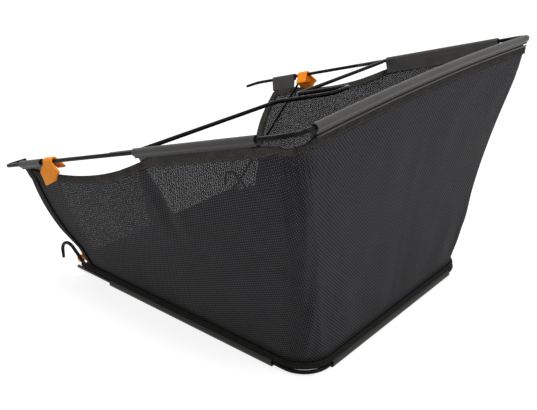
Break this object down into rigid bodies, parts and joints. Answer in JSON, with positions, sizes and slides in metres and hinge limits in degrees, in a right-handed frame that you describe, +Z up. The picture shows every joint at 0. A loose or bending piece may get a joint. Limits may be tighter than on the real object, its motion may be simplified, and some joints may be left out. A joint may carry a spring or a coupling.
{
  "type": "grass box for a reel mower",
  "caption": "Open-front mesh grass catcher on folding wire frames with plastic rim channels, a rear hanging hook and front mower hooks.",
  "frame": {"origin": "middle of the bounding box at the floor", "axes": "+X to the right-hand arm, +Y to the rear wall, -Y to the open mouth that meets the mower, +Z up"},
  "size_m": [0.5114, 0.4894, 0.3299],
  "materials": {
    "frame_wire": "gloss black coated steel wire",
    "clip_orange": "moulded orange plastic, light gloss",
    "rim_channel": "extruded warm grey plastic, satin",
    "base_channel": "extruded dark grey plastic, satin",
    "mesh_cloth": "coated open mesh cloth, charcoal",
    "binding_tape": "folded cloth hem, dark olive",
    "coated_cloth": "coated woven cloth, dark, nearly flat",
    "piping": "covered seam cord, dark olive"
  },
  "bodies": {
    "root": {"upper_frame": "frame_wire", "hook_bar": "frame_wire", "lower_frame": "frame_wire", "mower_hook_left": "frame_wire", "mower_hook_right": "frame_wire", "spreader": "frame_wire", "upper_clip_left": "clip_orange", "upper_clip_right": "clip_orange", "lower_clip_left": "clip_orange", "lower_clip_right": "clip_orange", "front_channel_left": "rim_channel", "front_channel_right": "rim_channel", "side_channel_left": "rim_channel", "side_channel_right": "rim_channel", "rear_channel": "rim_channel", "lower_channel_left": "base_channel", "lower_channel_right": "base_channel", "lower_channel_rear": "base_channel", "mesh_wall": "mesh_cloth", "rim_tape": "binding_tape", "front_binding_left": "binding_tape", "front_binding_right": "binding_tape", "bottom_panel": "coated_cloth", "seam_piping": "piping"}
  },
  "joints": []
}
